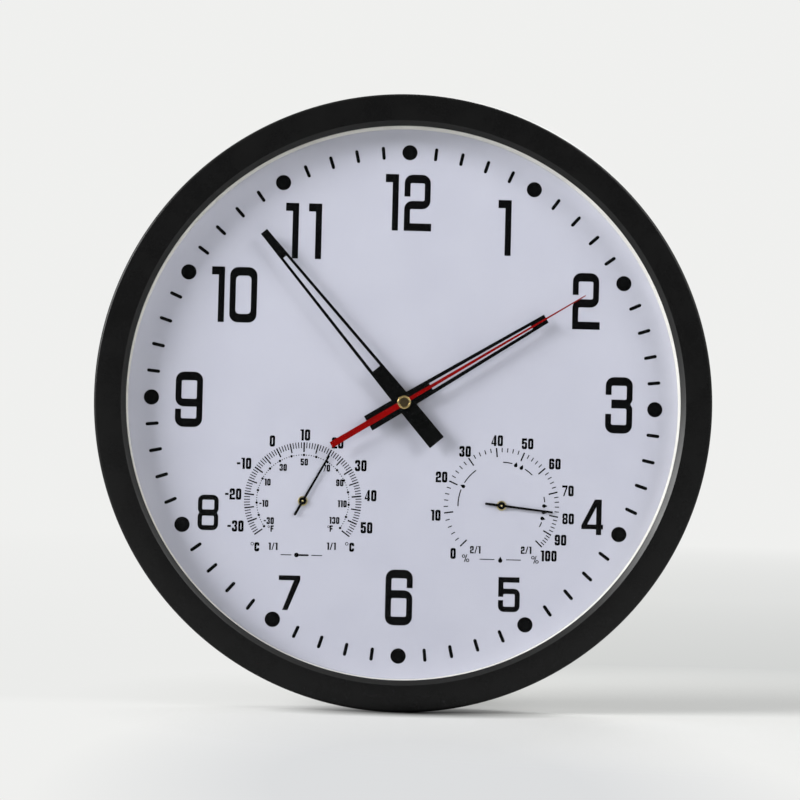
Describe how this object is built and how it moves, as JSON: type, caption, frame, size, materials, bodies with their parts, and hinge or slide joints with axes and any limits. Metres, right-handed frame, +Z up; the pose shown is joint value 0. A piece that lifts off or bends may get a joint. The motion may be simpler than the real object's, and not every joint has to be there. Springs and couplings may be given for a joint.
{
  "type": "wall clock with thermometer and hygrometer",
  "caption": "Round black-rimmed wall clock under glass, with thermometer and hygrometer dials, baton hands, a battery movement and a keyhole hanger.",
  "frame": {"origin": "centre of the case, on the axis of the hands, halfway between the bezel's front face and the wall", "axes": "-Y out of the dial towards the viewer, +Y towards the wall, +Z up to 12 o'clock, +X to 3 o'clock"},
  "size_m": [0.355, 0.045, 0.355],
  "materials": {
    "case_black": "satin black moulded plastic",
    "lens_glass": "clear flat mineral glass",
    "spacer_cream": "cream-white moulded plastic",
    "dial_white": "smooth cool white printed board with black print",
    "cover_black": "fine-grained black moulded plastic",
    "screw_steel": "zinc-plated steel",
    "movement_plastic": "black moulded plastic",
    "fixing_brass": "turned brass",
    "washer_rubber": "soft black rubber",
    "stator_iron": "stamped bright soft iron",
    "train_plastic": "natural white moulded plastic",
    "winding_copper": "enamelled copper wire",
    "circuit_board": "green solder mask",
    "contact_steel": "nickel-plated spring steel",
    "chip_resin": "black resin drop",
    "battery_sleeve": "plain dark sleeve with bright ends",
    "rotor_magnet": "grey sintered magnet",
    "hand_black": "satin black lacquer on sheet metal",
    "hand_red": "satin red lacquer on sheet metal",
    "cap_brass": "polished brass",
    "cup_plastic": "black moulded plastic",
    "bimetal": "rolled bimetal strip",
    "humidity_strip": "coated metal foil strip"
  },
  "bodies": {
    "case": {"case_ring": "case_black", "lens": "lens_glass", "spacer_ring": "spacer_cream", "dial": "dial_white", "rear_cover": "cover_black", "cover_screw_1": "screw_steel", "cover_screw_2": "screw_steel", "cover_screw_3": "screw_steel", "cover_screw_4": "screw_steel", "cover_screw_5": "screw_steel", "cover_screw_6": "screw_steel", "movement_tray": "movement_plastic", "movement_lid": "movement_plastic", "threaded_bush": "fixing_brass", "rubber_washer": "washer_rubber", "brass_washer": "fixing_brass", "hex_nut": "fixing_brass", "stator": "stator_iron", "coil_bobbin": "train_plastic", "coil_winding": "winding_copper", "circuit_board": "circuit_board", "crystal_can": "contact_steel", "chip_drop": "chip_resin", "positive_contact": "contact_steel", "negative_contact": "contact_steel", "thermometer_cup": "cup_plastic", "thermometer_coil": "bimetal", "thermometer_collar": "cap_brass", "hygrometer_cup": "cup_plastic", "hygrometer_coil": "humidity_strip", "hygrometer_collar": "cap_brass"},
    "second": {"second_hand": "hand_red", "second_hand_cap": "cap_brass", "second_arbor": "train_plastic"},
    "minute": {"minute_hand": "hand_black", "minute_arbor": "fixing_brass"},
    "hour": {"hour_hand": "hand_black", "hour_wheel": "train_plastic"},
    "centre_wheel": {"centre_wheel": "train_plastic"},
    "third_wheel": {"third_wheel": "train_plastic"},
    "fifth_wheel": {"fifth_wheel": "train_plastic"},
    "rotor": {"rotor": "rotor_magnet"},
    "setting_wheel": {"minute_wheel": "train_plastic", "setting_knob": "movement_plastic"},
    "thermometer_needle": {"thermometer_pointer": "hand_black", "thermometer_arbor": "cap_brass"},
    "hygrometer_needle": {"hygrometer_pointer": "hand_black", "hygrometer_arbor": "cap_brass"},
    "battery": {"battery": "battery_sleeve"}
  },
  "joints": [
    {"name": "second_turn", "type": "hinge", "parent": "case", "child": "second", "pos_m": [0, 0, 0], "axis": [0, 1, 0], "continuous": true},
    {"name": "minute_turn", "type": "hinge", "parent": "case", "child": "minute", "pos_m": [0, 0, 0], "axis": [0, 1, 0], "continuous": true},
    {"name": "hour_turn", "type": "hinge", "parent": "case", "child": "hour", "pos_m": [0, 0, 0], "axis": [0, 1, 0], "continuous": true},
    {"name": "centre_wheel_turn", "type": "hinge", "parent": "case", "child": "centre_wheel", "pos_m": [0, 0, 0], "axis": [0, 1, 0], "continuous": true},
    {"name": "third_wheel_turn", "type": "hinge", "parent": "case", "child": "third_wheel", "pos_m": [-0.0061, 0, 0.0061], "axis": [0, 1, 0], "continuous": true},
    {"name": "fifth_wheel_turn", "type": "hinge", "parent": "case", "child": "fifth_wheel", "pos_m": [0.00622, 0, 0.00622], "axis": [0, 1, 0], "continuous": true},
    {"name": "rotor_turn", "type": "hinge", "parent": "case", "child": "rotor", "pos_m": [0.00972, 0, 0.01228], "axis": [0, 1, 0], "continuous": true},
    {"name": "setting_turn", "type": "hinge", "parent": "case", "child": "setting_wheel", "pos_m": [-0.00865, 0, -0.00232], "axis": [0, 1, 0], "continuous": true},
    {"name": "temperature", "type": "hinge", "parent": "case", "child": "thermometer_needle", "pos_m": [-0.05685, 0, -0.0582], "axis": [0, 1, 0], "range_deg": [-154.9, 97.1], "stiffness_Nm_per_rad": 0.0002},
    {"name": "humidity", "type": "hinge", "parent": "case", "child": "hygrometer_needle", "pos_m": [0.05815, 0, -0.0582], "axis": [0, 1, 0], "range_deg": [-231.8, 38.2], "stiffness_Nm_per_rad": 0.0002},
    {"name": "battery_out", "type": "slide", "parent": "case", "child": "battery", "axis": [0, 1, 0], "range_m": [0, 0.02]}
  ],
  "couplings": [
    {"joint": "centre_wheel_turn", "follows": "second_turn", "ratio": 0.016667},
    {"joint": "third_wheel_turn", "follows": "second_turn", "ratio": -0.13333},
    {"joint": "fifth_wheel_turn", "follows": "second_turn", "ratio": -5},
    {"joint": "rotor_turn", "follows": "second_turn", "ratio": 30},
    {"joint": "hour_turn", "follows": "minute_turn", "ratio": 0.083333},
    {"joint": "setting_turn", "follows": "minute_turn", "ratio": -0.33333}
  ]
}
